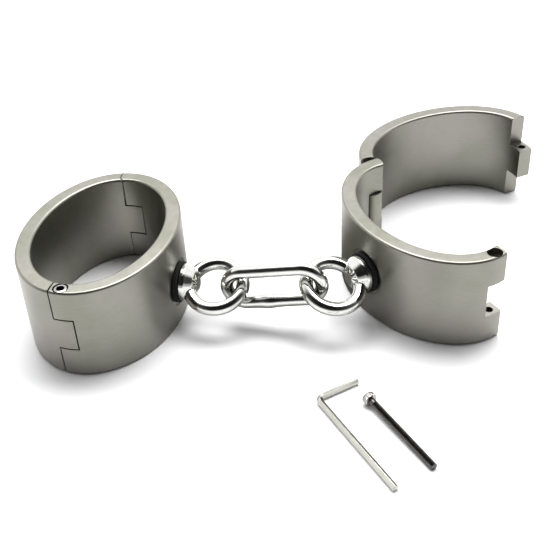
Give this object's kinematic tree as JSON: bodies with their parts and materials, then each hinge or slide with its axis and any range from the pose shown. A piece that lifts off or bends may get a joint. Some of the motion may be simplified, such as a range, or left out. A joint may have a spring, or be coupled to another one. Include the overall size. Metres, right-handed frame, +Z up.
{
  "type": "handcuffs",
  "caption": "Pair of heavy oval steel wrist cuffs joined by a chain link between two eye bolts, one shut and one open, with its lock screw and hex key.",
  "frame": {"origin": "middle of the whole object's box, on the floor that both cuffs stand on", "axes": "+Z up, +X from the shut cuff to the open one, -Y towards the side of the eye bolts' chain where the key and the loose screw lie"},
  "size_m": [0.2408, 0.2096, 0.044],
  "materials": {
    "satin_steel": "satin brushed stainless steel with polished edges",
    "pin_steel": "ground steel",
    "screw_steel": "turned steel with a knurled head",
    "polished_steel": "mirror-polished stainless steel",
    "black_rubber": "matte black",
    "key_steel": "bright nickel-plated steel"
  },
  "bodies": {
    "left_cuff": {"left_front_half": "satin_steel", "left_rear_half": "satin_steel", "left_hinge_pin": "pin_steel", "left_eye_bolt": "polished_steel", "left_eye_washer": "black_rubber"},
    "left_screw": {"left_lock_screw": "screw_steel"},
    "link": {"chain_link": "polished_steel"},
    "right_cuff": {"right_front_half": "satin_steel", "right_hinge_pin": "pin_steel", "right_eye_bolt": "polished_steel", "right_eye_washer": "black_rubber"},
    "right_gate": {"right_rear_half": "satin_steel"},
    "loose_screw": {"right_lock_screw": "screw_steel"},
    "loose_key": {"hex_key": "key_steel"}
  },
  "joints": [
    {"name": "left_screw_out", "type": "slide", "parent": "left_cuff", "child": "left_screw", "axis": [0, 0, 1], "range_m": [0, 0.045]},
    {"name": "link_swing", "type": "hinge", "parent": "left_cuff", "child": "link", "pos_m": [-0.02505, -0.00345, 0.01941], "axis": [0.1971, 0.919, 0.3416], "range_deg": [-110, 55]},
    {"name": "right_cuff_swing", "type": "hinge", "parent": "link", "child": "right_cuff", "pos_m": [0.00893, -0.01098, 0.02532], "axis": [-0.1634, 0.0362, 0.9859], "range_deg": [-12, 40]},
    {"name": "right_cuff_hinge", "type": "hinge", "parent": "right_cuff", "child": "right_gate", "pos_m": [0.03717, 0.05308, 0], "axis": [0, 0, 1], "range_deg": [-82.4, 24]},
    {"name": "loose_screw_lift", "type": "slide", "parent": "left_cuff", "child": "loose_screw", "axis": [0, 0, 1], "range_m": [0, 0.06]},
    {"name": "loose_key_lift", "type": "slide", "parent": "left_cuff", "child": "loose_key", "axis": [0, 0, 1], "range_m": [0, 0.06]}
  ]
}
